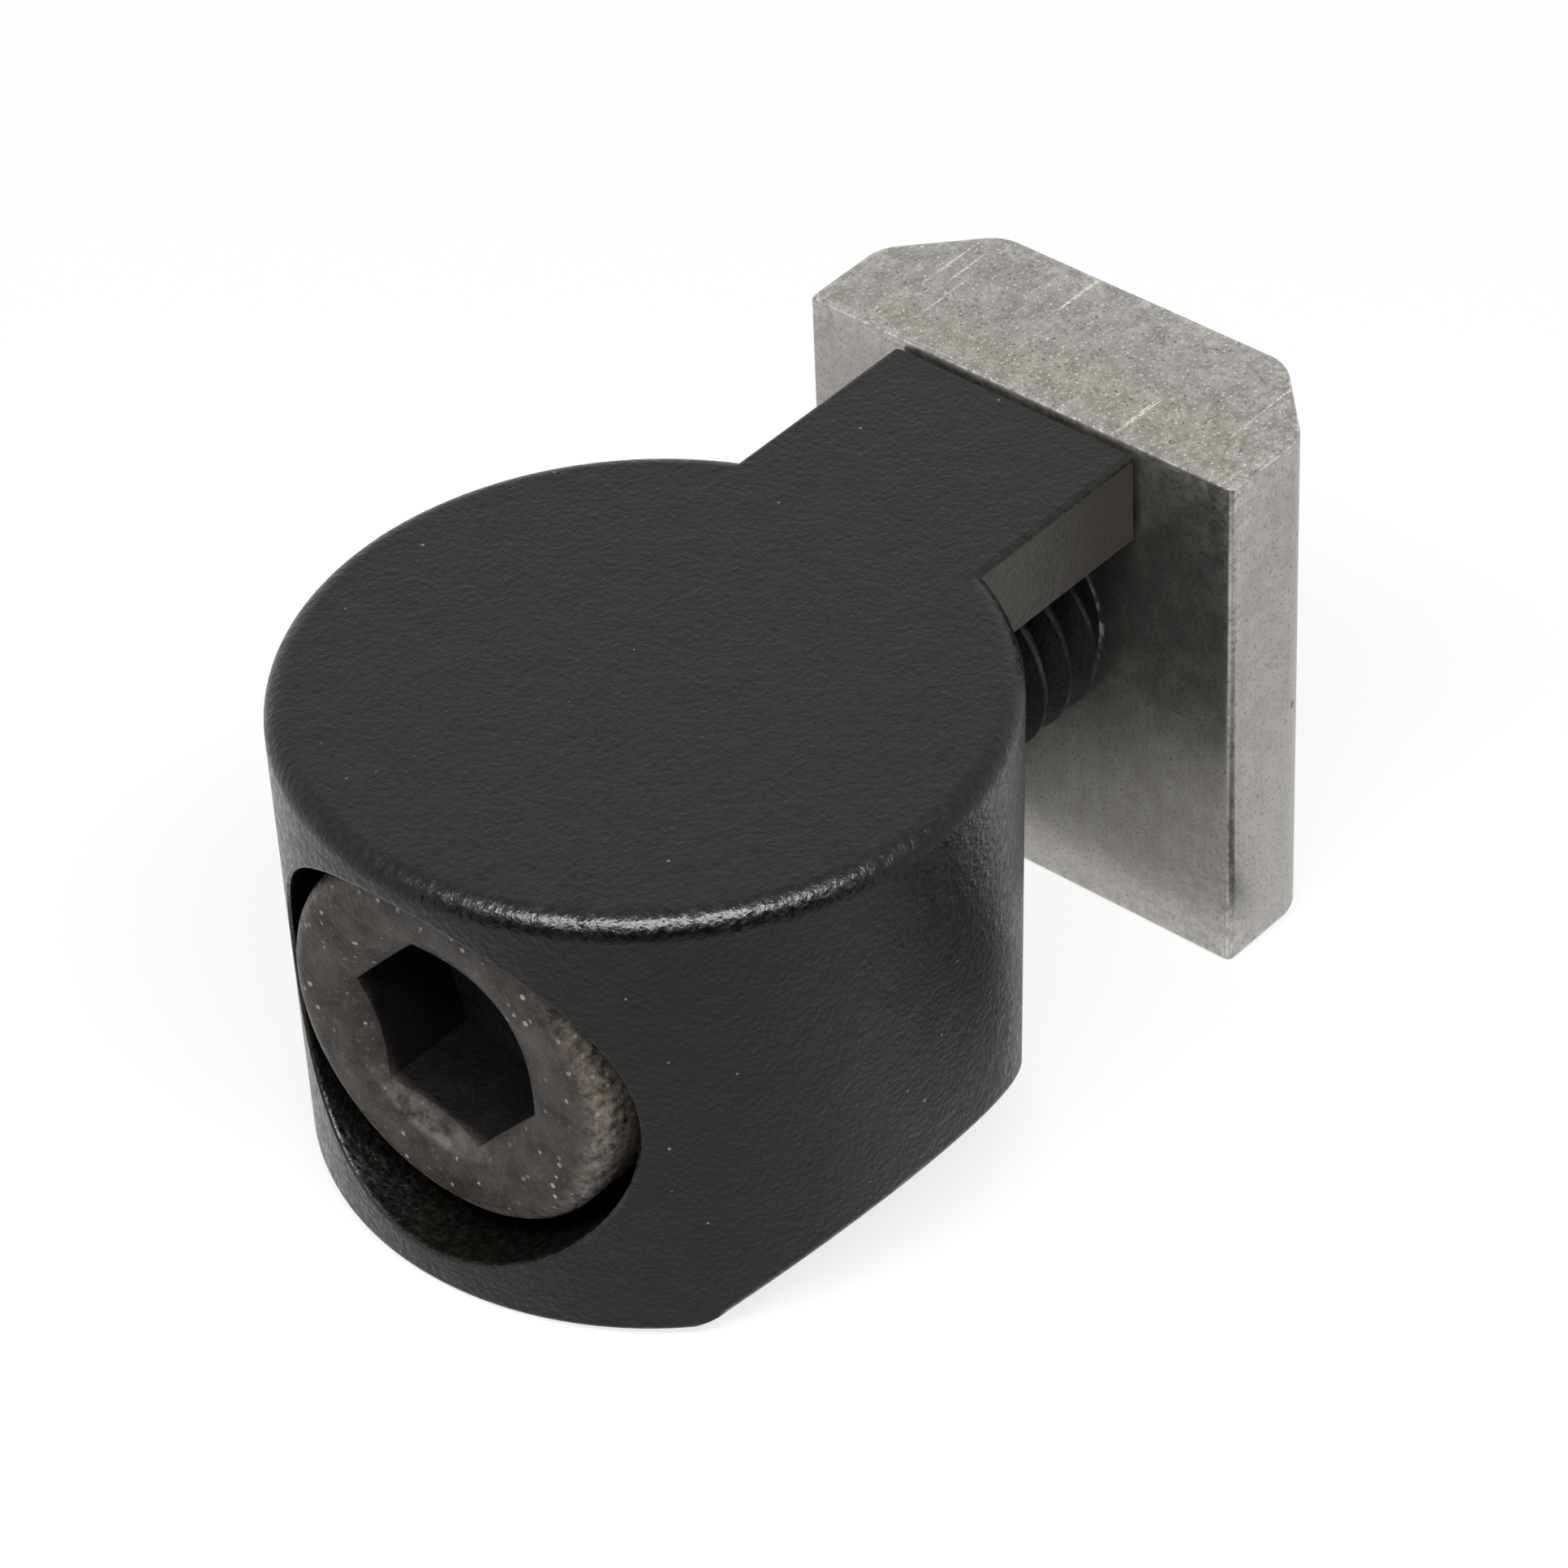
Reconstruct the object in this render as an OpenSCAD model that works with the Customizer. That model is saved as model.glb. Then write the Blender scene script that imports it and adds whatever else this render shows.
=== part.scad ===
// Anchor fastener for slotted bar: a cast cam with a key tab, the cap screw that passes through it,
// and the T-nut that the screw draws against the lips of the slot. All sizes are in millimetres.
// The origin lies on the barrel's axis at its flat underside; +X runs along the screw to the nut.

/* [Cam barrel] */
// Diameter of the barrel at its top
barrel_d = 18.2; // [16:0.05:24]
// Metal above the counterbore
barrel_roof = 1; // [0.6:0.05:3]
// Metal below the counterbore
barrel_floor = 1.05; // [0.6:0.05:3]
// Casting draft of the barrel's wall, in degrees
barrel_draft = 1.2; // [0:0.1:3]
// Rounding of the barrel's top edge
top_round = 0.6; // [0.2:0.05:1.2]
// Rounding of the barrel's bottom edge
bottom_round = 0.2; // [0.1:0.05:0.8]
// Width of the flat underside, between the two slanted flats
seat_w = 12.7; // [10:0.1:16]
// Slope of the slanted flats, in degrees from the underside
flat_slope = 47; // [35:1:60]

/* [Key tab] */
// Width of the tab, which keys between the lips of the slot
tab_w = 7.65; // [6:0.05:10]
// Thickness of the tab
tab_t = 2.55; // [1.8:0.05:3.2]
// Length of the tab outside the barrel
tab_out = 4.95; // [3:0.05:8]
// Rounding of the tab's top edges and of its end
tab_round = 0.2; // [0.1:0.05:0.8]

/* [Cap screw] */
// Outside diameter of the thread
thread_d = 6; // [4:0.1:7]
// Diameter of the head
head_d = 10; // [8.5:0.1:12]
// Height of the head
head_h = 6; // [4.8:0.1:8]
// Rounding of the head's outer edge
head_round = 0.4; // [0.2:0.05:1]
// Depth of the head's face behind the front of the barrel
head_recess = 1.25; // [0.5:0.05:3]
// Width of the hexagon socket across its flats
socket_af = 5; // [3:0.1:6]
// Depth of the socket's straight sides
socket_depth = 3; // [2:0.1:4]
// Width of the bevel round the socket's mouth, beyond its corners
socket_lead = 0.4; // [0.05:0.05:0.5]
// Turn of the socket from corner-up, in degrees
socket_turn = -17; // [-30:1:30]
// Bevel at the screw's tip
tip_bevel = 0.7; // [0.2:0.1:1.2]
// How far the tip ends short of the nut's back face
tip_inset = 1.2; // [0.2:0.1:2]

/* [Fits] */
// Radial play of the head in its counterbore
head_play = 0.5; // [0.4:0.05:1.5]
// Radial play of the thread in the cam's through hole
hole_play = 0.5; // [0.4:0.05:1]
// How far the screw rides above the middle of its hole
screw_rise = 0.1; // [0:0.05:0.2]
// Radial play of the thread in the nut
thread_play = 0.05; // [0.02:0.01:0.1]
// Gap between the end of the tab and the nut
nut_gap = 0.15; // [0.12:0.01:0.5]

/* [T-nut] */
// Width of the nut across the slot
nut_w = 13.55; // [11:0.05:18]
// Length of the nut along the slot
nut_len = 15.2; // [12:0.1:24]
// Thickness of the nut, front to back
nut_t = 5.15; // [4:0.05:8]
// Depth of the nut's straight sides
nut_side = 2.8; // [1.5:0.05:3.8]
// Width of the nut's back, between its two slanted faces
nut_back_w = 9.1; // [7:0.1:10.5]
// Rounding of the nut's long edges
nut_round = 0.45; // [0.1:0.05:0.8]
// How far the nut's upper end stands above the cam
nut_rise = 0.15; // [0:0.05:2]

/* [Hidden] */
$fn = 96;

// Small overrun that takes a cut clear through its wall
over = 1;
// Straight steps that make up a rounded corner
arc_steps = 6;
// Slope of the drill point at the bottom of the socket and of the bevel at its mouth, in degrees
drill_slope = 30;

barrel_r = barrel_d / 2;
counterbore_d = head_d + 2 * head_play;
hole_d = thread_d + 2 * hole_play;
hole_z = barrel_floor + counterbore_d / 2;
cam_h = hole_z + counterbore_d / 2 + barrel_roof;
barrel_foot_r = barrel_r - cam_h * tan(barrel_draft);
tab_end = barrel_r + tab_out;

screw_z = hole_z + screw_rise;
head_face = head_recess - barrel_r;
head_seat = head_face + head_h;
socket_corner_d = socket_af / cos(30);
socket_mouth_d = socket_corner_d + 2 * socket_lead;

nut_front = tab_end + nut_gap;
nut_back = nut_front + nut_t;
nut_top = cam_h + nut_rise;
screw_len = nut_back - tip_inset - head_seat;

// Lays a shape that rises along Z down along +X, with its foot at x and its axis at height z
module along_x(x, z) {
  translate([x, 0, z])
    rotate([0, 90, 0])
      children();
}

// Unit vector from point a towards point b
function towards(a, b) = (b - a) / norm(b - a);

// Point p turned by an angle about the origin
function turned(p, angle) = [p.x * cos(angle) - p.y * sin(angle), p.x * sin(angle) + p.y * cos(angle)];

// Points of the arc of radius r that rounds corner b, between its neighbours a and c
function corner_arc(a, b, c, r) =
  let (
    u = towards(b, a),
    v = towards(b, c),
    half_angle = acos(u * v) / 2,
    centre = b + r / sin(half_angle) * towards([0, 0], u + v),
    start = b + r / tan(half_angle) * u - centre,
    sweep = 180 - 2 * half_angle
  )
  [for (k = [0 : arc_steps]) centre + turned(start, sweep * k / arc_steps)];

// Convex outline, listed anticlockwise, with its corners rounded: rounds[i] is the radius at points[i]
function rounded(points, rounds) =
  let (n = len(points))
  [for (i = [0 : n - 1])
    each rounds[i] == 0 ? [points[i]]
      : corner_arc(points[(i + n - 1) % n], points[i], points[(i + 1) % n], rounds[i])];

// Round barrel, a little narrower at its foot
module barrel() {
  rotate_extrude()
    polygon(rounded(
      [[0, 0], [barrel_foot_r, 0], [barrel_r, cam_h], [0, cam_h]],
      [0, bottom_round, top_round, 0]
    ));
}

// Slanted flat along the foot of the barrel, cut away on the +Y side
module foot_flat() {
  reach = barrel_d;
  rise = (reach - seat_w / 2) * tan(flat_slope);
  rotate([90, 0, 90])
    linear_extrude(barrel_d + 2 * over, center = true)
      polygon([[seat_w / 2, 0], [seat_w / 2, -over], [reach, -over], [reach, rise]]);
}

// Flat tab, flush with the top of the barrel: its cross-section and its side view meet
module key_tab() {
  foot = cam_h - tab_t;
  intersection() {
    rotate([90, 0, 90])
      linear_extrude(tab_end)
        polygon(rounded(
          [[-tab_w / 2, foot], [tab_w / 2, foot], [tab_w / 2, cam_h], [-tab_w / 2, cam_h]],
          [0, 0, tab_round, tab_round]
        ));
    rotate([90, 0, 0])
      linear_extrude(tab_w + 2 * over, center = true)
        polygon(rounded(
          [[0, foot], [tab_end, foot], [tab_end, cam_h], [0, cam_h]],
          [0, tab_round, tab_round, 0]
        ));
  }
}

// Cast cam: barrel and tab in one piece, cross-drilled and counterbored for the screw
module anchor_cam() {
  color("#383836")
    difference() {
      union() {
        barrel();
        key_tab();
      }
      foot_flat();
      mirror([0, 1, 0])
        foot_flat();
      along_x(head_seat - over, hole_z)
        cylinder(d = hole_d, h = barrel_d);
      along_x(-barrel_r - over, hole_z)
        cylinder(d = counterbore_d, h = head_seat + barrel_r + over);
    }
}

// Hexagon socket with a bevelled mouth and a drill point, opening at the head's face
module hexagon_socket() {
  lead_depth = (socket_mouth_d - socket_af) / 2 * tan(drill_slope);
  along_x(head_face, screw_z) {
    rotate([0, 0, socket_turn])
      translate([0, 0, -over])
        cylinder(d = socket_corner_d, h = socket_depth + over, $fn = 6);
    cylinder(d1 = socket_mouth_d, d2 = socket_af, h = lead_depth);
    translate([0, 0, socket_depth])
      cylinder(d1 = socket_af, d2 = 0, h = socket_af / 2 * tan(drill_slope));
  }
}

// Cap screw: round head with a hexagon socket, and a shank at the thread's outside diameter
module cap_screw() {
  tip = head_h + screw_len;
  color("#4c4742")
    difference() {
      along_x(head_face, screw_z)
        rotate_extrude()
          union() {
            polygon(rounded(
              [[0, 0], [head_d / 2, 0], [head_d / 2, head_h], [0, head_h]],
              [0, head_round, 0, 0]
            ));
            polygon([
              [0, head_h - over], [thread_d / 2, head_h - over], [thread_d / 2, tip - tip_bevel],
              [thread_d / 2 - tip_bevel, tip], [0, tip]
            ]);
          }
      hexagon_socket();
    }
}

// T-nut: a length of bar with slanted back corners, tapped for the screw
module t_nut() {
  side = nut_w / 2;
  back = nut_back_w / 2;
  color("#b4b3ad")
    difference() {
      translate([nut_front, 0, nut_top - nut_len])
        linear_extrude(nut_len)
          polygon(rounded(
            [[0, -side], [nut_side, -side], [nut_t, -back], [nut_t, back], [nut_side, side], [0, side]],
            [for (corner = [1 : 6]) nut_round]
          ));
      along_x(nut_front - over, screw_z)
        cylinder(d = thread_d + 2 * thread_play, h = nut_t + 2 * over);
    }
}

anchor_cam();
cap_screw();
t_nut();
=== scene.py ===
"""Looks of the anchor fastener: the cast cam, the cap screw and the T-nut, each in place of its solid."""
from math import atan2, cos, hypot, pi, radians, sin, tan

import bmesh
import bpy
from mathutils import Matrix, Vector


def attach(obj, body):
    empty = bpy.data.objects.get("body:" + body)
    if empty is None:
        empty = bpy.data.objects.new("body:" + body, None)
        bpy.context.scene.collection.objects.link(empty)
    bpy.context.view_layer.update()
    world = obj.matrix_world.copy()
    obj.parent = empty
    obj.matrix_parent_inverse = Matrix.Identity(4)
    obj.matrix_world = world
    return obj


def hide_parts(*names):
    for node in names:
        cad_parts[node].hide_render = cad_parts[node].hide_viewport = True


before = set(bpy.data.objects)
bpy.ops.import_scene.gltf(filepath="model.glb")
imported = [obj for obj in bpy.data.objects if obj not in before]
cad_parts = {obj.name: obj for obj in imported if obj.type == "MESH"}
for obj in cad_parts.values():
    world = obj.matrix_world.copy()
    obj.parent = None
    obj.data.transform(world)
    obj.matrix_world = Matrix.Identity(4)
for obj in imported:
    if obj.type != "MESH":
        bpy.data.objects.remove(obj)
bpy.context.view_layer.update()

# Pieces are modelled in millimetres, at the sizes of the solids, and brought to metres when they are done
METRES = 0.001
# Overrun that takes a cut clear through its wall
OVER = 1.0
# Gap within which places count as the same
NEAR = 0.001

# Cast cam
BARREL_R = 9.1
BARREL_DRAFT = radians(1.2)
BARREL_FLOOR = 1.05
BARREL_ROOF = 1.0
TOP_ROUND = 0.6
BOTTOM_ROUND = 0.2
# How much slimmer the barrel's finer mesh is, so that it stays inside the solid's box
SLIMMER = 0.002
SEAT_W = 12.7
FLAT_SLOPE = radians(47)
FLAT_ROUND = 0.18
# Rounding between the underside and each slanted flat, and the flat steps that make it up
SEAT_ROUND = 1.5
SEAT_STEPS = 5
HOLE_R = 3.5
COUNTERBORE_R = 5.5
HOLE_Z = BARREL_FLOOR + COUNTERBORE_R
CAM_H = HOLE_Z + COUNTERBORE_R + BARREL_ROOF
# Rounded lip of the counterbore, and how far in its arc has come half way round
LIP = 0.12
LIP_HALF = LIP * (1 - cos(radians(45)))
# Where the hole drilled from the back meets the one from the front
HOLE_MEET = 3.0
# Gap under which the corners that the drills leave are merged
CORNER_GAP = 0.02
TAB_W = 7.65
TAB_T = 2.55
TAB_OUT = 4.95
TAB_END = BARREL_R + TAB_OUT
# Just before the place where the tab's sides leave the barrel
TAB_FROM = 8.0
TAB_ROUND = 0.2
TAB_END_ROUND = 0.08

# T-nut
NUT_GAP = 0.15
NUT_FRONT = TAB_END + NUT_GAP
NUT_T = 5.15
NUT_W = 13.55
NUT_SIDE = 2.8
NUT_BACK_W = 9.1
NUT_RISE = 0.15
NUT_TOP = CAM_H + NUT_RISE
NUT_LEN = 15.2
NUT_BOTTOM = NUT_TOP - NUT_LEN
NUT_ROUND = 0.45
NUT_FRONT_ROUND = 0.2
NUT_END_ROUND = 0.12

# Cap screw, M6 x 1, which rides a little above the middle of its hole
SCREW_RISE = 0.1
SCREW_Z = HOLE_Z + SCREW_RISE
HEAD_RECESS = 1.25
HEAD_FACE = HEAD_RECESS - BARREL_R
HEAD_H = 6.0
HEAD_SEAT = HEAD_FACE + HEAD_H
HEAD_R = 5.0
HEAD_ROUND = 0.7
SOCKET_AF = 5.0
SOCKET_DEPTH = 3.0
SOCKET_LEAD = 0.4
SOCKET_TURN = radians(13)
SOCKET_CORNER_R = SOCKET_AF / 2 / cos(radians(30))
SOCKET_MOUTH_R = SOCKET_CORNER_R + SOCKET_LEAD
DRILL_SLOPE = radians(30)
# Lower side of the socket's mouth, rubbed by keys and painted lighter where light falls on its bevel,
# and how far from the axis the lighter patch begins and is full
RUBBED_LIT_SIDE = (0, cos(radians(77)), -sin(radians(77)))
RUBBED_LIT_FROM = 2.1
RUBBED_LIT_FULL = 3.0
TIP_INSET = 1.2
TIP = NUT_FRONT + NUT_T - TIP_INSET
TIP_BEVEL = 0.7

# Thread on the screw, and in the nut with play around it
PITCH = 1.0
CREST_FLAT = 0.125
FLANK_SLOPE = radians(30)
CREST_R = 2.96
ROOT_R = 2.39
TAP_CREST_R = 3.05
TAP_ROOT_R = 2.52
# Where the thread's first root stands, in the plane above the axis
THREAD_START = -4.2


def only(obj):
    """Leaves obj alone selected, and active."""
    bpy.ops.object.select_all(action="DESELECT")
    obj.select_set(True)
    bpy.context.view_layer.objects.active = obj


def placed(name):
    """Names the newest primitive and puts its place into its mesh."""
    obj = bpy.context.object
    obj.name = obj.data.name = name
    only(obj)
    bpy.ops.object.transform_apply(location=True, rotation=True, scale=True)
    return obj


def pick(obj, kind, test):
    """In edit mode, selects the vertices, edges or faces that pass a test, and nothing else."""
    bpy.ops.mesh.select_mode(type=kind)
    bpy.ops.mesh.select_all(action="DESELECT")
    mesh = bmesh.from_edit_mesh(obj.data)
    for part in {"VERT": mesh.verts, "EDGE": mesh.edges, "FACE": mesh.faces}[kind]:
        if test(part):
            part.select_set(True)
    mesh.select_flush_mode()
    bmesh.update_edit_mesh(obj.data)


def level(axis, place):
    """Test for edges that lie in one plane across an axis (0, 1 or 2)."""
    return lambda edge: all(abs(v.co[axis] - place) < NEAR for v in edge.verts)


def upright(edge):
    """Whether an edge runs straight up."""
    return hypot(*(edge.verts[0].co - edge.verts[1].co).xy) < NEAR


def modified(obj, kind, **settings):
    """Adds a modifier and applies it."""
    only(obj)
    modifier = obj.modifiers.new(kind.lower(), kind)
    for name, value in settings.items():
        setattr(modifier, name, value)
    bpy.ops.object.modifier_apply(modifier=modifier.name)


def combined(obj, tool, operation):
    """Joins, cuts or trims obj by a tool, and takes the tool away."""
    modified(obj, "BOOLEAN", operation=operation, solver="EXACT", object=tool)
    bpy.data.meshes.remove(tool.data)


def rod(name, radius, start, end, height, sides, turn=0.0):
    """Round or many-sided bar along X between two ends, its axis at a height."""
    bpy.ops.mesh.primitive_cylinder_add(
        vertices=sides, radius=radius, depth=end - start, rotation=(0, 0, turn),
    )
    bar = placed(name)
    bar.location = ((start + end) / 2, 0, height)
    bar.rotation_euler = (0, pi / 2, 0)
    return placed(name)


def taper(name, start_r, end_r, start, end, height, sides):
    """Cone along X between two ends, its axis at a height."""
    bpy.ops.mesh.primitive_cone_add(
        vertices=sides, radius1=start_r, radius2=end_r, depth=end - start,
        location=((start + end) / 2, 0, height), rotation=(0, pi / 2, 0),
    )
    return placed(name)


def thread(name, crest_r, root_r, start, turns):
    """Right-hand thread along X, on the screw's axis, closed at both ends."""
    flank = (crest_r - root_r) * tan(FLANK_SLOPE)
    root_flat = PITCH - CREST_FLAT - 2 * flank
    rise = crest_r - root_r
    bpy.ops.mesh.primitive_plane_add(size=PITCH)
    obj = placed(name)
    bpy.ops.object.mode_set(mode="EDIT")
    # The plane shrinks to a point, which is drawn out into one tooth of the thread
    bpy.ops.mesh.select_mode(type="VERT")
    bpy.ops.mesh.select_all(action="SELECT")
    bpy.ops.mesh.merge(type="CENTER")
    bpy.ops.transform.translate(value=(start, 0, root_r))
    for step in (
        (root_flat / 2, 0, 0), (flank, 0, rise), (CREST_FLAT, 0, 0), (flank, 0, -rise), (root_flat / 2, 0, 0),
    ):
        bpy.ops.mesh.extrude_region_move(TRANSFORM_OT_translate={"value": step})
    bpy.ops.object.mode_set(mode="OBJECT")
    modified(
        obj, "SCREW", axis="X", angle=2 * pi, screw_offset=PITCH, iterations=turns,
        steps=64, render_steps=64,
    )
    bpy.ops.object.mode_set(mode="EDIT")
    bpy.ops.mesh.select_all(action="SELECT")
    bpy.ops.mesh.remove_doubles(threshold=NEAR)
    middle = start + turns * PITCH / 2
    for side in (-1, 1):
        pick(obj, "EDGE", lambda e: e.is_boundary and side * (e.verts[0].co.x - middle) > 0)
        bpy.ops.mesh.extrude_region_move()
        bpy.ops.mesh.merge(type="CENTER")
    bpy.ops.mesh.select_all(action="SELECT")
    bpy.ops.mesh.normals_make_consistent(inside=False)
    bpy.ops.transform.translate(value=(0, 0, SCREW_Z))
    bpy.ops.object.mode_set(mode="OBJECT")
    return obj


def barrel(name):
    """Drafted barrel with rounded edges, and two slanted flats along its foot."""
    radius = BARREL_R - SLIMMER
    bpy.ops.mesh.primitive_cylinder_add(vertices=192, radius=radius, depth=CAM_H, location=(0, 0, CAM_H / 2))
    cam = placed(name)
    foot = 1 - CAM_H * tan(BARREL_DRAFT) / radius
    bpy.ops.object.mode_set(mode="EDIT")
    pick(cam, "EDGE", level(2, 0))
    bpy.ops.transform.resize(value=(foot, foot, 1), center_override=(0, 0, 0))
    bpy.ops.mesh.bevel(offset=BOTTOM_ROUND, segments=3, affect="EDGES")
    pick(cam, "EDGE", level(2, CAM_H))
    bpy.ops.mesh.bevel(offset=TOP_ROUND, segments=8, affect="EDGES")
    # Each slanted flat is planed off, after the steps of the rounding between it and the underside
    for side in (-1, 1):
        centre = Vector((0, side * (SEAT_W / 2 - SEAT_ROUND * tan(FLAT_SLOPE / 2)), SEAT_ROUND))
        for step in range(1, SEAT_STEPS + 1):
            slope = FLAT_SLOPE * step / SEAT_STEPS
            slant = Vector((0, side * sin(slope), -cos(slope)))
            planed = centre + SEAT_ROUND * slant
            bpy.ops.mesh.select_all(action="SELECT")
            bpy.ops.mesh.bisect(plane_co=planed, plane_no=slant, use_fill=True, clear_outer=True)
        pick(cam, "EDGE", lambda e: all(abs((v.co - planed).dot(slant)) < NEAR for v in e.verts)
             and hypot(*(e.verts[0].co - e.verts[1].co).yz) > NEAR)
        bpy.ops.mesh.bevel(offset=FLAT_ROUND, segments=3, affect="EDGES", loop_slide=False)
    bpy.ops.object.mode_set(mode="OBJECT")
    return cam


def key_tab():
    """Flat tab, flush with the top of the barrel, with rounded edges."""
    bpy.ops.mesh.primitive_cube_add(
        size=1, location=(TAB_END / 2, 0, CAM_H - TAB_T / 2), scale=(TAB_END, TAB_W, TAB_T),
    )
    tab = placed("key_tab")
    bpy.ops.object.mode_set(mode="EDIT")
    pick(tab, "EDGE", lambda e: level(2, CAM_H)(e) and (level(1, TAB_W / 2)(e) or level(1, -TAB_W / 2)(e)))
    bpy.ops.mesh.bevel(offset=TAB_ROUND, segments=3, affect="EDGES")
    pick(tab, "EDGE", level(0, TAB_END))
    bpy.ops.mesh.bevel(offset=TAB_END_ROUND, segments=2, affect="EDGES")
    bpy.ops.object.mode_set(mode="OBJECT")
    return tab


def drill(cam):
    """Drills the cam from the back, and counterbores it in front."""
    mouth_r = COUNTERBORE_R + LIP
    combined(cam, rod("mouth", mouth_r, -BARREL_R - OVER, HEAD_SEAT, HOLE_Z, 128), "DIFFERENCE")
    combined(cam, rod("hole", HOLE_R, HOLE_MEET, BARREL_R + OVER, HOLE_Z, 96), "DIFFERENCE")
    # The mouth's cut leaves its outline on the barrel, and the bore is drawn in from there over a rounded lip
    bpy.ops.object.mode_set(mode="EDIT")
    bpy.ops.mesh.select_all(action="SELECT")
    bpy.ops.mesh.remove_doubles(threshold=CORNER_GAP)
    pick(cam, "FACE", lambda f: all(
        abs(hypot(v.co.y, v.co.z - HOLE_Z) - mouth_r) < LIP / 10 for v in f.verts
    ) or all(abs(v.co.x - HOLE_MEET) < NEAR for v in f.verts))
    bpy.ops.mesh.delete(type="FACE")
    pick(cam, "EDGE", lambda e: e.is_boundary and e.verts[0].co.x < 0)
    axis = (0, 0, HOLE_Z)
    half_r = COUNTERBORE_R + LIP_HALF
    for wide, narrow, inwards in (
        (mouth_r, half_r, LIP_HALF), (half_r, COUNTERBORE_R, LIP - LIP_HALF),
    ):
        bpy.ops.mesh.extrude_region_move(TRANSFORM_OT_translate={"value": (inwards, 0, 0)})
        bpy.ops.transform.resize(value=(1, narrow / wide, narrow / wide), center_override=axis)
    bpy.ops.mesh.extrude_region_move()
    bpy.ops.transform.resize(value=(0, 1, 1), center_override=(HEAD_SEAT, 0, HOLE_Z))
    bpy.ops.mesh.extrude_region_move()
    bpy.ops.transform.resize(value=(1, HOLE_R / COUNTERBORE_R, HOLE_R / COUNTERBORE_R), center_override=axis)
    pick(cam, "EDGE", lambda e: e.is_boundary)
    bpy.ops.mesh.bridge_edge_loops()
    bpy.ops.mesh.select_all(action="SELECT")
    bpy.ops.mesh.normals_make_consistent(inside=False)
    bpy.ops.object.mode_set(mode="OBJECT")


def cast_cam():
    """Barrel and key tab in one casting, drilled for the screw."""
    cam = barrel("cast_cam")
    combined(cam, key_tab(), "UNION")
    drill(cam)
    only(cam)
    bpy.ops.object.shade_smooth_by_angle(angle=radians(35))
    modified(cam, "WEIGHTED_NORMAL", keep_sharp=True)
    return cam


def screw_head(name):
    """Round head with a rounded rim, and a hexagon socket with a bevelled mouth and a drill point."""
    screw = rod(name, HEAD_R, HEAD_FACE, HEAD_SEAT, SCREW_Z, 128)
    bpy.ops.object.mode_set(mode="EDIT")
    pick(screw, "EDGE", level(0, HEAD_FACE))
    bpy.ops.mesh.bevel(offset=HEAD_ROUND, segments=6, affect="EDGES")
    bpy.ops.object.mode_set(mode="OBJECT")

    bottom = HEAD_FACE + SOCKET_DEPTH
    socket = rod("socket", SOCKET_CORNER_R, HEAD_FACE - OVER, bottom, SCREW_Z, 6, SOCKET_TURN)
    combined(screw, socket, "DIFFERENCE")
    # The bevel's cone starts in front of the face, so that it cuts the mouth cleanly
    lead = (SOCKET_MOUTH_R - SOCKET_AF / 2) * tan(DRILL_SLOPE)
    wide_r = SOCKET_MOUTH_R + OVER / tan(DRILL_SLOPE)
    bevel = taper("socket_lead", wide_r, SOCKET_AF / 2, HEAD_FACE - OVER, HEAD_FACE + lead, SCREW_Z, 96)
    combined(screw, bevel, "DIFFERENCE")
    deepest = bottom + SOCKET_AF / 2 * tan(DRILL_SLOPE)
    point = taper("drill_point", SOCKET_AF / 2, 0, bottom - NEAR, deepest, SCREW_Z, 96)
    combined(screw, point, "DIFFERENCE")
    return screw


def screw_shank():
    """Threaded shank with a bevelled tip."""
    turns = int((TIP - THREAD_START) / PITCH) + 3
    shank = thread("shank", CREST_R, ROOT_R, THREAD_START, turns)
    envelope = rod("envelope", CREST_R + NEAR, HEAD_SEAT - OVER, TIP, SCREW_Z, 128)
    bpy.ops.object.mode_set(mode="EDIT")
    pick(envelope, "EDGE", level(0, TIP))
    bpy.ops.mesh.bevel(offset=TIP_BEVEL, segments=1, affect="EDGES")
    bpy.ops.object.mode_set(mode="OBJECT")
    combined(shank, envelope, "INTERSECT")
    return shank


def cap_screw():
    """Head and shank in one piece."""
    screw = screw_head("socket_cap_screw")
    combined(screw, screw_shank(), "UNION")
    bpy.ops.object.mode_set(mode="EDIT")
    bpy.ops.mesh.select_all(action="SELECT")
    bpy.ops.mesh.remove_doubles(threshold=NEAR)
    bpy.ops.object.mode_set(mode="OBJECT")
    only(screw)
    bpy.ops.object.shade_smooth_by_angle(angle=radians(32))
    return screw


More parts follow.
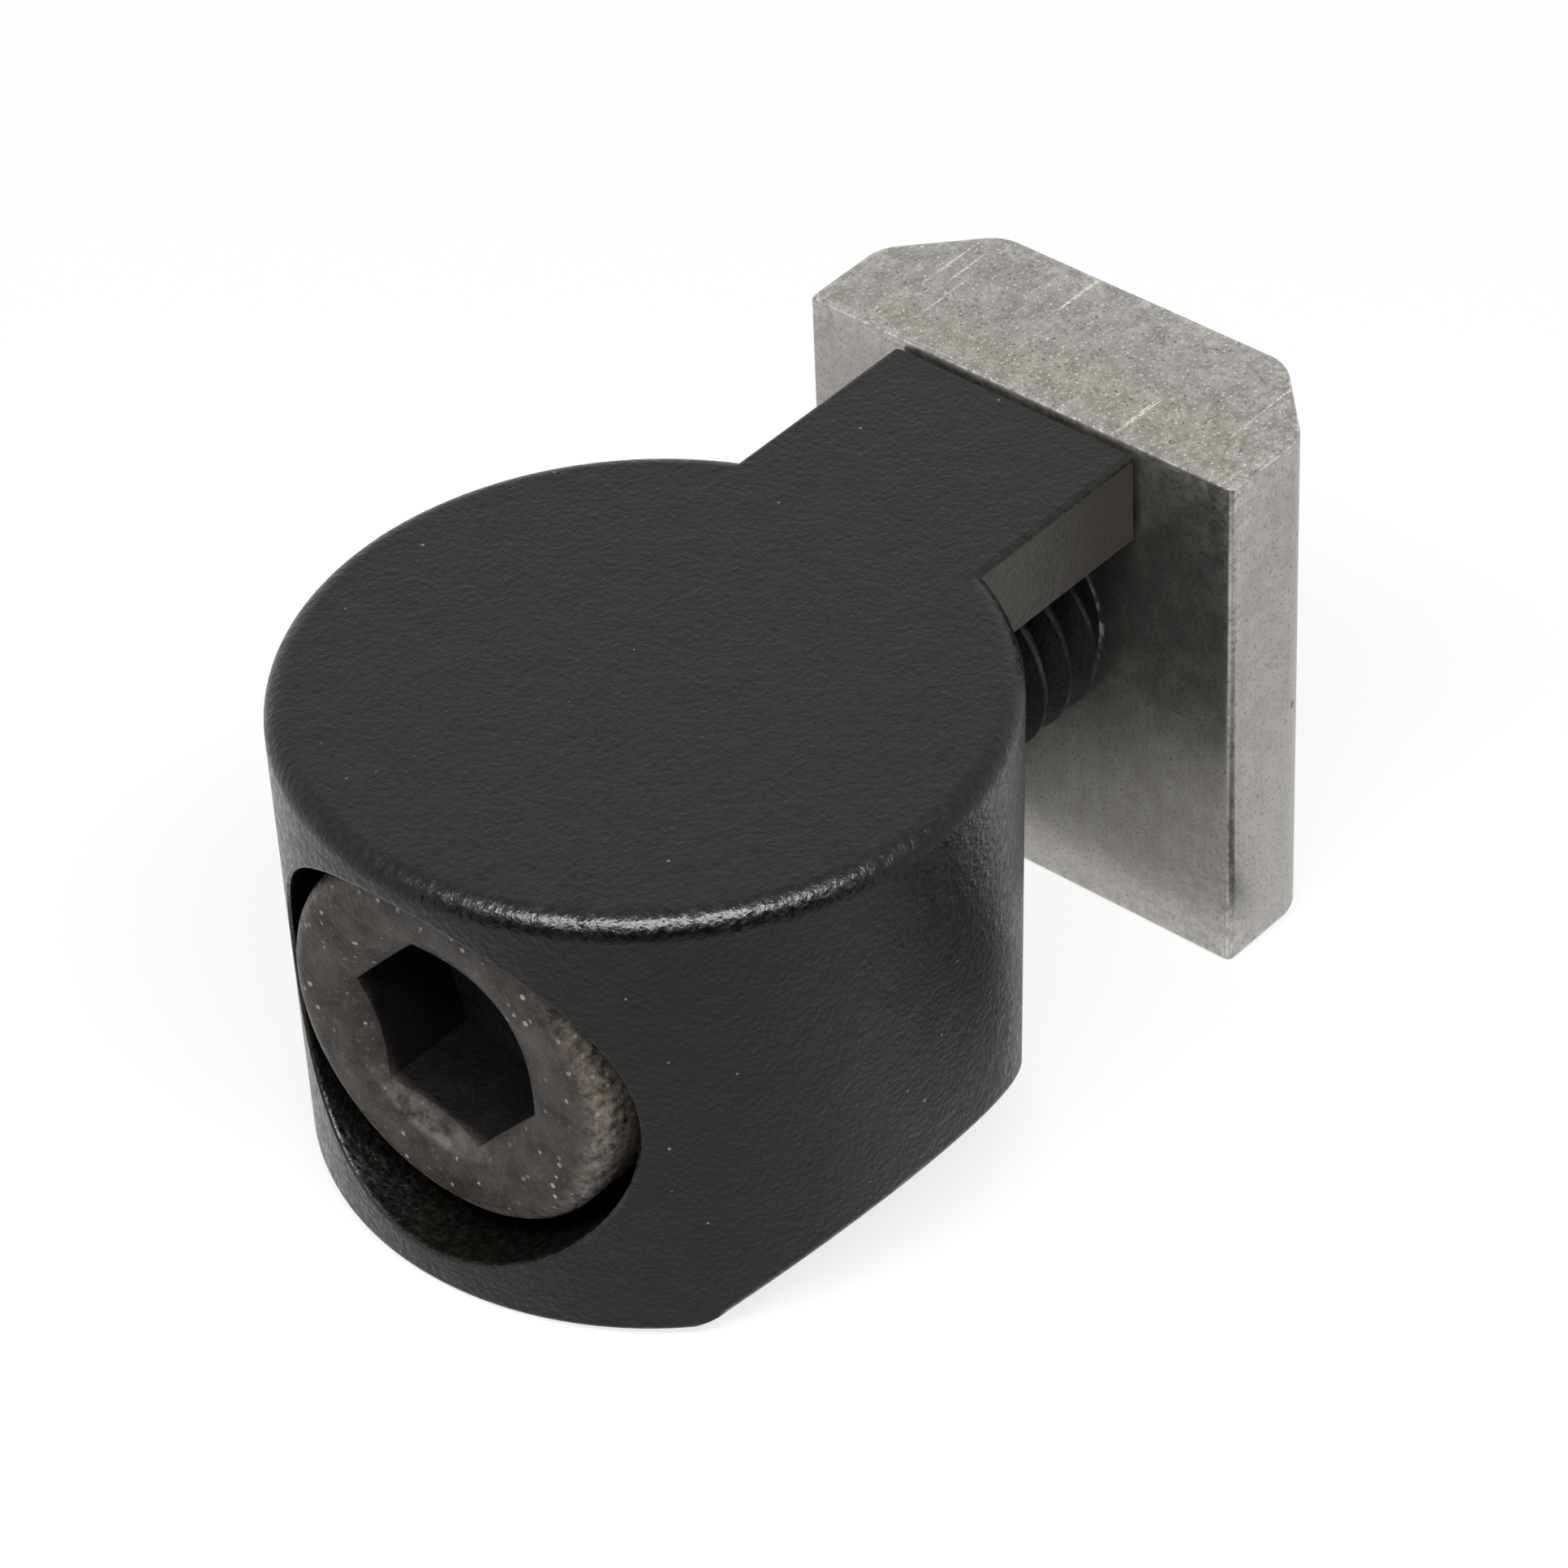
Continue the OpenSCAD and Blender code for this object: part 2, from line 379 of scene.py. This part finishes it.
def t_nut():
    """Length of bar with slanted back corners and worn edges, tapped for the screw."""
    back = NUT_FRONT + NUT_T
    bpy.ops.mesh.primitive_cube_add(
        size=1, location=(NUT_FRONT + NUT_T / 2, 0, NUT_TOP - NUT_LEN / 2), scale=(NUT_T, NUT_W, NUT_LEN),
    )
    nut = placed("tapped_t_nut")
    slant = Vector((NUT_W / 2 - NUT_BACK_W / 2, NUT_T - NUT_SIDE)).normalized()
    bpy.ops.object.mode_set(mode="EDIT")
    for side in (-1, 1):
        bpy.ops.mesh.select_all(action="SELECT")
        bpy.ops.mesh.bisect(
            plane_co=(back, side * NUT_BACK_W / 2, 0), plane_no=(slant.x, side * slant.y, 0),
            use_fill=True, clear_outer=True,
        )
    pick(nut, "EDGE", lambda e: upright(e) and not level(0, NUT_FRONT)(e))
    bpy.ops.mesh.bevel(offset=NUT_ROUND, segments=4, affect="EDGES")
    pick(nut, "EDGE", lambda e: upright(e) and level(0, NUT_FRONT)(e))
    bpy.ops.mesh.bevel(offset=NUT_FRONT_ROUND, segments=3, affect="EDGES")
    pick(nut, "EDGE", lambda e: level(2, NUT_TOP)(e) or level(2, NUT_BOTTOM)(e))
    bpy.ops.mesh.bevel(offset=NUT_END_ROUND, segments=2, affect="EDGES")
    bpy.ops.object.mode_set(mode="OBJECT")

    turns = int(NUT_T / PITCH) + 4
    start = THREAD_START + PITCH * int((NUT_FRONT - 2 * PITCH - THREAD_START) / PITCH)
    combined(nut, thread("tap", TAP_CREST_R, TAP_ROOT_R, start, turns), "DIFFERENCE")
    only(nut)
    bpy.ops.object.shade_smooth_by_angle(angle=radians(32))
    return nut


def linear(code):
    """Linear colour of an sRGB hex value."""
    parts = [int(code[i:i + 2], 16) / 255 for i in (1, 3, 5)]
    return [c / 12.92 if c <= 0.04045 else ((c + 0.055) / 1.055) ** 2.4 for c in parts] + [1.0]


def per_mm(size):
    """Texture scale that gives features of a size in millimetres, on coordinates in metres."""
    return 1 / (size * METRES)


def add_node(tree, kind, inputs, out=0, **settings):
    """Adds a node and gives one of its outputs; an input takes a value, a hex colour, or a socket to link."""
    node = tree.nodes.new(kind)
    for name, value in settings.items():
        setattr(node, name, value)
    for name, value in inputs.items():
        if isinstance(value, bpy.types.NodeSocket):
            tree.links.new(value, node.inputs[name])
        else:
            node.inputs[name].default_value = linear(value) if isinstance(value, str) else value
    return node.outputs[out]


# Sockets of the Mix node where it mixes colours
FACTOR, UNDER, OVER_IT, MIXED = 0, 6, 7, 2


def begun(name, **constants):
    """New material with the sockets that stay the same all over, its tree, shader and object coordinates."""
    material = bpy.data.materials.new(name)
    material.use_nodes = True
    tree = material.node_tree
    shader = tree.nodes["Principled BSDF"]
    for socket, value in constants.items():
        shader.inputs[socket.replace("_", " ")].default_value = value
    return material, tree, shader, add_node(tree, "ShaderNodeTexCoord", {}, "Object")


def patches(tree, place, size, detail, low, high, least=0.0, most=1.0):
    """Mask of irregular patches of a size in millimetres, from noise between a low and a high value."""
    noise = add_node(tree, "ShaderNodeTexNoise", {
        "Vector": place, "Scale": per_mm(size), "Detail": detail, "Roughness": 0.65})
    return add_node(tree, "ShaderNodeMapRange", {
        "Value": noise, "From Min": low, "From Max": high, "To Min": least, "To Max": most})


def specks(tree, place, spacing, radius, share):
    """Mask of small round spots, up to a radius: one in each cell of a spacing, in a share of the cells."""
    distance = add_node(tree, "ShaderNodeTexVoronoi", {"Vector": place, "Scale": per_mm(spacing)}, "Distance")
    draw = add_node(tree, "ShaderNodeSeparateColor", {"Color": distance.node.outputs["Color"]})
    # Each cell's draw sets its spot's radius, and none is left at the share
    size = add_node(tree, "ShaderNodeMapRange", {
        "Value": draw, "From Max": share, "To Min": radius / spacing, "To Max": 0.0})
    inside = add_node(tree, "ShaderNodeMath", {0: size, 1: distance}, operation="SUBTRACT")
    return add_node(tree, "ShaderNodeMapRange", {"Value": inside, "From Max": 0.3 * radius / spacing})


def worn_and_highlit_edges(tree, reach, place):
    """Mask of the edges that handling has rubbed, painted lighter both as wear and as a painted highlight,
    within a reach in millimetres, broken up by noise.
    """
    rounded = add_node(tree, "ShaderNodeBevel", {"Radius": reach * METRES}, samples=6)
    flat = add_node(tree, "ShaderNodeNewGeometry", {}, "True Normal")
    turn = add_node(tree, "ShaderNodeVectorMath", {0: rounded, 1: flat}, "Value", operation="DOT_PRODUCT")
    edge = add_node(tree, "ShaderNodeMapRange", {"Value": turn, "From Min": 0.99, "From Max": 0.92})
    return add_node(tree, "ShaderNodeMath", {
        0: edge, 1: patches(tree, place, 0.25, 3.0, 0.42, 0.62)}, operation="MULTIPLY")


def satin_black_casting():
    """Black coating on sand-cast metal: near black, a satin gloss over grain that glitters along the rounded
    edges, a few pale specks that are painted glints, rubbed edges with a painted highlight along them, and
    the tab's sides painted paler as painted light."""
    material, tree, shader, place = begun("satin_black_cast_metal", Specular_IOR_Level=0.25)
    grain = add_node(tree, "ShaderNodeTexNoise", {"Vector": place, "Scale": per_mm(0.16), "Detail": 3.0})
    lumps = add_node(tree, "ShaderNodeTexNoise", {"Vector": place, "Scale": per_mm(1.1), "Detail": 4.0})
    coat = add_node(tree, "ShaderNodeMix", {
        FACTOR: patches(tree, place, 0.8, 4.0, 0.35, 0.65), UNDER: "#080705", OVER_IT: "#100e0a"},
        MIXED, data_type="RGBA")
    # Rubbed edges, made lighter: wear, with a painted highlight along them
    coat = add_node(tree, "ShaderNodeMix", {
        FACTOR: worn_and_highlit_edges(tree, 0.12, place), UNDER: coat, OVER_IT: "#3a3630"}, MIXED, data_type="RGBA")
    # Pale specks: painted glints, where the grain would catch the light
    coat = add_node(tree, "ShaderNodeMix", {
        FACTOR: specks(tree, place, 0.6, 0.06, 0.3), UNDER: coat, OVER_IT: "#7a766e"},
        MIXED, data_type="RGBA")
    # The tab's sides are painted paler: painted light, for the brighter reflection that they show
    normal = add_node(tree, "ShaderNodeTexCoord", {}, "Normal")
    sideways = add_node(tree, "ShaderNodeSeparateXYZ", {"Vector": normal}, "Y")
    sideways = add_node(tree, "ShaderNodeMath", {0: sideways}, operation="ABSOLUTE")
    sideways = add_node(tree, "ShaderNodeMapRange", {"Value": sideways, "From Min": 0.9, "From Max": 0.98})
    along = add_node(tree, "ShaderNodeSeparateXYZ", {"Vector": place}, "X")
    on_tab = add_node(tree, "ShaderNodeMath", {0: along, 1: TAB_FROM * METRES}, operation="GREATER_THAN")
    painted_light_tab_sides = add_node(tree, "ShaderNodeMath", {0: sideways, 1: on_tab}, operation="MULTIPLY")
    coat = add_node(tree, "ShaderNodeMix", {
        FACTOR: painted_light_tab_sides, UNDER: coat, OVER_IT: "#35322d"}, MIXED, data_type="RGBA")
    tree.links.new(coat, shader.inputs["Base Color"])
    tree.links.new(patches(tree, place, 0.2, 3.0, 0.35, 0.65, 0.18, 0.42), shader.inputs["Roughness"])
    skin = add_node(tree, "ShaderNodeMath", {0: lumps, 1: 1.2, 2: grain}, operation="MULTIPLY_ADD")
    bump = add_node(tree, "ShaderNodeBump", {"Height": skin, "Strength": 1.0, "Distance": 0.035 * METRES})
    tree.links.new(bump, shader.inputs["Normal"])
    return material


def worn_black_oxide():
    """Black oxide on steel: dusty brown-grey on the handled head, its rim lighter as wear and painted light,
    the socket's bevel rubbed by keys and painted lighter on its lit side, black in the socket as painted
    shade, and black on the thread, whose crests are worn and carry a painted highlight."""
    material, tree, shader, place = begun("worn_black_oxide_steel", Metallic=0.25, Specular_IOR_Level=0.4)
    along = add_node(tree, "ShaderNodeSeparateXYZ", {"Vector": place}, "X")
    spoke = add_node(tree, "ShaderNodeVectorMath", {
        0: place, 1: (0, 0, SCREW_Z * METRES)}, operation="SUBTRACT")
    spoke = add_node(tree, "ShaderNodeVectorMath", {0: spoke, 1: (0, 1, 1)}, operation="MULTIPLY")
    radius = add_node(tree, "ShaderNodeVectorMath", {0: spoke}, "Value", operation="LENGTH")

    # Mottled skin, with dust in its hollows and glints where the oxide is rubbed through
    skin = add_node(tree, "ShaderNodeMix", {
        FACTOR: patches(tree, place, 1.0, 6.0, 0.36, 0.66), UNDER: "#1a1613", OVER_IT: "#443d37"},
        MIXED, data_type="RGBA")
    skin = add_node(tree, "ShaderNodeMix", {
        FACTOR: patches(tree, place, 0.14, 3.0, 0.56, 0.74), UNDER: skin, OVER_IT: "#5a524b"},
        MIXED, data_type="RGBA")
    # Rim lighter all round: rubbing, and painted light on the rounded shoulder
    rim = add_node(tree, "ShaderNodeMapRange", {
        "Value": radius, "From Min": (HEAD_R - 0.6) * METRES, "From Max": (HEAD_R - 0.2) * METRES})
    rim = add_node(tree, "ShaderNodeMath", {
        0: rim, 1: patches(tree, place, 0.24, 4.0, 0.38, 0.7)}, operation="MULTIPLY")
    skin = add_node(tree, "ShaderNodeMix", {
        FACTOR: rim, UNDER: skin, OVER_IT: "#80766c"}, MIXED, data_type="RGBA")
    rubbed = add_node(tree, "ShaderNodeMath", {
        0: specks(tree, place, 0.28, 0.09, 0.9), 1: patches(tree, place, 0.9, 3.0, 0.44, 0.58)},
        operation="MULTIPLY")
    skin = add_node(tree, "ShaderNodeMix", {
        FACTOR: rubbed, UNDER: skin, OVER_IT: "#a89b8d"}, MIXED, data_type="RGBA")

    # Lighter patch on the bevel of the socket's mouth, on its lower side: key wear, and painted light where
    # the bevel faces the lamp
    low = add_node(tree, "ShaderNodeVectorMath", {0: spoke, 1: RUBBED_LIT_SIDE}, "Value", operation="DOT_PRODUCT")
    keyed_and_lit = add_node(tree, "ShaderNodeMapRange", {
        "Value": low, "From Min": RUBBED_LIT_FROM * METRES, "From Max": RUBBED_LIT_FULL * METRES})
    behind_face = add_node(tree, "ShaderNodeMapRange", {
        "Value": along, "From Min": (HEAD_FACE + 0.02) * METRES, "From Max": (HEAD_FACE + 0.1) * METRES})
    keyed_and_lit = add_node(tree, "ShaderNodeMath", {0: keyed_and_lit, 1: behind_face}, operation="MULTIPLY")
    keyed_and_lit = add_node(tree, "ShaderNodeMath", {
        0: keyed_and_lit, 1: patches(tree, place, 0.5, 4.0, 0.36, 0.62)}, operation="MULTIPLY")
    skin = add_node(tree, "ShaderNodeMix", {
        FACTOR: keyed_and_lit, UNDER: skin, OVER_IT: "#6f6962"}, MIXED, data_type="RGBA")

    # Inside of the socket, darkened: painted shade in the recess
    deep = add_node(tree, "ShaderNodeMapRange", {
        "Value": along, "From Min": (HEAD_FACE + 0.3) * METRES, "From Max": (HEAD_FACE + 0.6) * METRES})
    within = add_node(tree, "ShaderNodeMapRange", {
        "Value": radius, "From Min": SOCKET_MOUTH_R * METRES, "From Max": SOCKET_CORNER_R * METRES})
    painted_shade_in_socket = add_node(tree, "ShaderNodeMath", {0: deep, 1: within}, operation="MULTIPLY")
    skin = add_node(tree, "ShaderNodeMix", {
        FACTOR: painted_shade_in_socket, UNDER: skin, OVER_IT: "#161312"}, MIXED, data_type="RGBA")

    # Shank, black but for the crests of its thread, which are lighter as wear and as a painted highlight
    crest = add_node(tree, "ShaderNodeMapRange", {
        "Value": radius, "From Min": (CREST_R - 0.04) * METRES, "From Max": CREST_R * METRES})
    crest = add_node(tree, "ShaderNodeMath", {
        0: crest, 1: patches(tree, place, 0.9, 3.0, 0.4, 0.7)}, operation="MULTIPLY")
    shank = add_node(tree, "ShaderNodeMix", {
        FACTOR: crest, UNDER: "#110f0e", OVER_IT: "#47413b"}, MIXED, data_type="RGBA")
    on_shank = add_node(tree, "ShaderNodeMath", {0: along, 1: HEAD_SEAT * METRES}, operation="GREATER_THAN")
    skin = add_node(tree, "ShaderNodeMix", {
        FACTOR: on_shank, UNDER: skin, OVER_IT: shank}, MIXED, data_type="RGBA")
    tree.links.new(skin, shader.inputs["Base Color"])
    tree.links.new(patches(tree, place, 0.9, 6.0, 0.3, 0.7, 0.42, 0.62), shader.inputs["Roughness"])
    hollows = add_node(tree, "ShaderNodeTexNoise", {"Vector": place, "Scale": per_mm(0.9), "Detail": 6.0})
    grit = add_node(tree, "ShaderNodeTexNoise", {"Vector": place, "Scale": per_mm(0.14), "Detail": 3.0})
    relief = add_node(tree, "ShaderNodeMath", {0: hollows, 1: 2.0, 2: grit}, operation="MULTIPLY_ADD")
    bump = add_node(tree, "ShaderNodeBump", {"Height": relief, "Strength": 0.9, "Distance": 0.03 * METRES})
    tree.links.new(bump, shader.inputs["Normal"])
    return material


def zinc_plate():
    """Zinc plate on drawn steel: pale grey, softly bright and clouded on its long faces with a few pits, and
    grainy on the sawn ends with bright saw scratches; the edges are nicked bright and carry a painted
    highlight."""
    material, tree, shader, place = begun("zinc_plated_steel")
    normal = add_node(tree, "ShaderNodeTexCoord", {}, "Normal")
    upwards = add_node(tree, "ShaderNodeSeparateXYZ", {"Vector": normal}, "Z")
    endwise = add_node(tree, "ShaderNodeMath", {0: upwards}, operation="ABSOLUTE")
    sawn = add_node(tree, "ShaderNodeMapRange", {"Value": endwise, "From Min": 0.6, "From Max": 0.8})

    # Long faces: clouds, drawing streaks along the bar and dark pits
    faces = add_node(tree, "ShaderNodeMix", {
        FACTOR: patches(tree, place, 0.6, 5.0, 0.32, 0.68), UNDER: "#989590", OVER_IT: "#aaa7a1"},
        MIXED, data_type="RGBA")
    drawn = add_node(tree, "ShaderNodeMapping", {"Vector": place, "Scale": (1.0, 1.0, 0.06)})
    faces = add_node(tree, "ShaderNodeMix", {
        FACTOR: patches(tree, drawn, 0.4, 4.0, 0.45, 0.8, 0.0, 0.4), UNDER: faces, OVER_IT: "#87847f"},
        MIXED, data_type="RGBA")
    faces = add_node(tree, "ShaderNodeMix", {
        FACTOR: patches(tree, place, 0.1, 2.0, 0.45, 0.3), UNDER: faces, OVER_IT: "#7b7873"},
        MIXED, data_type="RGBA")
    faces = add_node(tree, "ShaderNodeMix", {
        FACTOR: specks(tree, place, 0.8, 0.14, 0.4), UNDER: faces, OVER_IT: "#4a4744"},
        MIXED, data_type="RGBA")

    # Sawn ends: scratches, and speckled grain, drawn coarser than the plate's crystals so that it shows
    ends = add_node(tree, "ShaderNodeMix", {
        FACTOR: patches(tree, place, 0.5, 4.0, 0.35, 0.65), UNDER: "#8c8983", OVER_IT: "#a9a6a0"},
        MIXED, data_type="RGBA")
    ends = add_node(tree, "ShaderNodeMix", {
        FACTOR: patches(tree, place, 0.09, 2.0, 0.42, 0.3), UNDER: ends, OVER_IT: "#605d58"},
        MIXED, data_type="RGBA")
    ends = add_node(tree, "ShaderNodeMix", {
        FACTOR: patches(tree, place, 0.11, 2.0, 0.58, 0.7), UNDER: ends, OVER_IT: "#d8d5ce"},
        MIXED, data_type="RGBA")
    across = add_node(tree, "ShaderNodeMapping", {"Vector": place, "Scale": (0.03, 1.0, 1.0)})
    scratch = add_node(tree, "ShaderNodeMath", {
        0: patches(tree, across, 0.25, 2.0, 0.66, 0.7), 1: patches(tree, place, 0.1, 2.0, 0.4, 0.55)},
        operation="MULTIPLY")
    ends = add_node(tree, "ShaderNodeMix", {
        FACTOR: scratch, UNDER: ends, OVER_IT: "#e4e1da"}, MIXED, data_type="RGBA")

    plate = add_node(tree, "ShaderNodeMix", {
        FACTOR: sawn, UNDER: faces, OVER_IT: ends}, MIXED, data_type="RGBA")
    # Nicked edges, painted near white: wear, with a painted highlight along them
    edges = worn_and_highlit_edges(tree, 0.2, place)
    plate = add_node(tree, "ShaderNodeMix", {
        FACTOR: edges, UNDER: plate, OVER_IT: "#efede8"}, MIXED, data_type="RGBA")
    tree.links.new(plate, shader.inputs["Base Color"])
    # The plate has dulled a little, and most along the nicked edges that carry the painted highlight
    metal = add_node(tree, "ShaderNodeMapRange", {"Value": edges, "To Min": 0.92, "To Max": 0.6})
    tree.links.new(metal, shader.inputs["Metallic"])
    tree.links.new(patches(tree, place, 0.6, 4.0, 0.3, 0.7, 0.28, 0.38), shader.inputs["Roughness"])
    grit = add_node(tree, "ShaderNodeTexNoise", {"Vector": place, "Scale": per_mm(0.1), "Detail": 3.0})
    bump = add_node(tree, "ShaderNodeBump", {"Height": grit, "Strength": 0.5, "Distance": 0.01 * METRES})
    tree.links.new(bump, shader.inputs["Normal"])
    return material


def finished(piece, material, body, node):
    """Brings a piece to metres and to its finish, and puts it in place of its solid."""
    piece.scale = (METRES,) * 3
    only(piece)
    bpy.ops.object.transform_apply(location=False, rotation=False, scale=True)
    piece.data.materials.clear()
    piece.data.materials.append(material)
    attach(piece, body)
    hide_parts(node)


finished(cast_cam(), satin_black_casting(), "cam", "anchor_cam")
finished(cap_screw(), worn_black_oxide(), "screw", "cap_screw")
finished(t_nut(), zinc_plate(), "nut", "t_nut")


# Studio: the part rests on its foot and on the nut's lower front edge, and the floor leans to touch both
FOOT_X = -8.6
FLOOR_GAP = 0.02
FLOOR_TILT = atan2(-NUT_BOTTOM, NUT_FRONT - FOOT_X)
FLOOR_SIZE = 4.0
LAMP_AZIMUTH = radians(-46)
LAMP_ELEVATION = radians(60)
LAMP_DISTANCE = 0.4


def studio_white(tree, shown, unseen):
    """Mixes two shaders: one where the camera, a glossy or a clear surface sees it, the other for light."""
    rays = add_node(tree, "ShaderNodeLightPath", {}, "Is Camera Ray")
    seen = add_node(tree, "ShaderNodeMath", {
        0: rays, 1: rays.node.outputs["Is Glossy Ray"]}, operation="MAXIMUM")
    seen = add_node(tree, "ShaderNodeMath", {
        0: seen, 1: rays.node.outputs["Is Transmission Ray"]}, operation="MAXIMUM")
    return add_node(tree, "ShaderNodeMixShader", {0: seen, 1: unseen, 2: shown})


def pale_floor():
    """Matt white floor that keeps the part's shadow."""
    bpy.ops.mesh.primitive_plane_add(
        size=FLOOR_SIZE, location=(FOOT_X * METRES, 0, -FLOOR_GAP * METRES), rotation=(0, FLOOR_TILT, 0),
    )
    floor = bpy.context.object
    floor.name = "floor"
    material = bpy.data.materials.new("matt_white_floor")
    material.use_nodes = True
    tree = material.node_tree
    tree.nodes.remove(tree.nodes["Principled BSDF"])
    matt = add_node(tree, "ShaderNodeBsdfDiffuse", {"Color": "#ffffff"})
    # Of the white that is seen, most is its own, and the rest is lit, so that the shadow shows in it
    lit = add_node(tree, "ShaderNodeBsdfDiffuse", {"Color": "#888888"})
    own = add_node(tree, "ShaderNodeEmission", {"Strength": 0.8})
    seen = add_node(tree, "ShaderNodeAddShader", {0: lit, 1: own})
    tree.links.new(studio_white(tree, seen, matt), tree.nodes["Material Output"].inputs["Surface"])
    floor.data.materials.append(material)


def white_surround():
    """White all round the part, and a softer level of light from it."""
    world = bpy.data.worlds.new("white_surround")
    bpy.context.scene.world = world
    world.use_nodes = True
    tree = world.node_tree
    light = add_node(tree, "ShaderNodeBackground", {"Color": "#ffffff", "Strength": 0.2})
    white = add_node(tree, "ShaderNodeBackground", {"Color": "#ffffff", "Strength": 1.0})
    tree.links.new(studio_white(tree, white, light), tree.nodes["World Output"].inputs["Surface"])


def soft_lamp(name, width, height, watts):
    """Soft box above the camera, aimed at the part."""
    lamp = bpy.data.lights.new(name, "AREA")
    lamp.shape = "RECTANGLE"
    lamp.size = width
    lamp.size_y = height
    lamp.energy = watts
    obj = bpy.data.objects.new(name, lamp)
    bpy.context.scene.collection.objects.link(obj)
    turn = Matrix.Rotation(LAMP_AZIMUTH, 4, "Z") @ Matrix.Rotation(pi / 2 - LAMP_ELEVATION, 4, "X")
    aim = Matrix.Translation((0, 0, CAM_H / 2 * METRES))
    obj.matrix_world = aim @ turn @ Matrix.Translation((0, 0, LAMP_DISTANCE))
    obj.visible_camera = False
    return obj


def card(name, left, right, fade, width, height, location, rotation):
    """Studio card that only reflections show; from its left edge it fades from one colour to another."""
    bpy.ops.mesh.primitive_plane_add(size=1, location=location, rotation=rotation)
    bpy.context.object.scale = (width, height, 1)
    obj = placed(name)
    material, tree, shader, place = begun(name, Roughness=1.0, Specular_IOR_Level=0.0)
    along = add_node(tree, "ShaderNodeSeparateXYZ", {"Vector": place}, "X")
    edge = location[0] - width / 2
    share = add_node(tree, "ShaderNodeMapRange", {"Value": along, "From Min": edge, "From Max": edge + fade})
    shade = add_node(tree, "ShaderNodeMix", {
        FACTOR: share, UNDER: left, OVER_IT: right}, MIXED, data_type="RGBA")
    tree.links.new(shade, shader.inputs["Base Color"])
    obj.data.materials.append(material)
    for ray in ("camera", "diffuse", "shadow", "transmission"):
        setattr(obj, "visible_" + ray, False)


def photo_camera():
    """Camera fitted to the photograph's outlines: its angles, its aim at the cam's top, and its distance."""
    azimuth, elevation, roll = radians(-48.254), radians(39.267), radians(-2.499)
    aim_right, aim_up, distance = 3.344, -2.536, 167.76
    camera = bpy.data.objects.new("camera", bpy.data.cameras.new("camera"))
    bpy.context.scene.collection.objects.link(camera)
    camera.data.lens = 162.0
    camera.data.clip_start = 0.01
    turn = (
        Matrix.Rotation(azimuth, 4, "Z")
        @ Matrix.Rotation(pi / 2 - elevation, 4, "X")
        @ Matrix.Rotation(roll, 4, "Z")
    )
    top = Matrix.Translation((0, 0, CAM_H * METRES))
    offset = Matrix.Translation(Vector((aim_right, aim_up, distance)) * METRES)
    camera.matrix_world = top @ turn @ offset
    bpy.context.scene.camera = camera


pale_floor()
white_surround()
soft_lamp("key_lamp", width=0.4, height=0.06, watts=1.6)
# Strip that shows only in the cam's reflections, for the glitter along the barrel's top edge
glint_strip = soft_lamp("glint_strip", width=0.45, height=0.04, watts=6.5)
glint_strip.visible_diffuse = False
glint_strip.light_linking.receiver_collection = bpy.data.collections.new("glittering")
glint_strip.light_linking.receiver_collection.objects.link(bpy.data.objects["cast_cam"])
# Black card before the camera, for the dark line under the barrel's top edge
card(
    "black_card", "#000000", "#000000", fade=0.09, width=0.09, height=0.03,
    location=(-0.026, -0.0234, 0.015), rotation=(pi / 2, 0, radians(-48)),
)
# Grey cards on the floor, for the dimmer reflections on the barrel's right side and on the front of the nut
card(
    "side_card", "#ffffff", "#606060", fade=0.01, width=0.0145, height=0.022,
    location=(0.00925, -0.0188, -0.00152), rotation=(0, FLOOR_TILT, 0),
)
card(
    "front_card", "#ffffff", "#e4e4e4", fade=0.01, width=0.01, height=0.0155,
    location=(0.0085, 0.0, -0.00145), rotation=(0, FLOOR_TILT, 0),
)
photo_camera()
bpy.context.scene.view_settings.view_transform = "Standard"
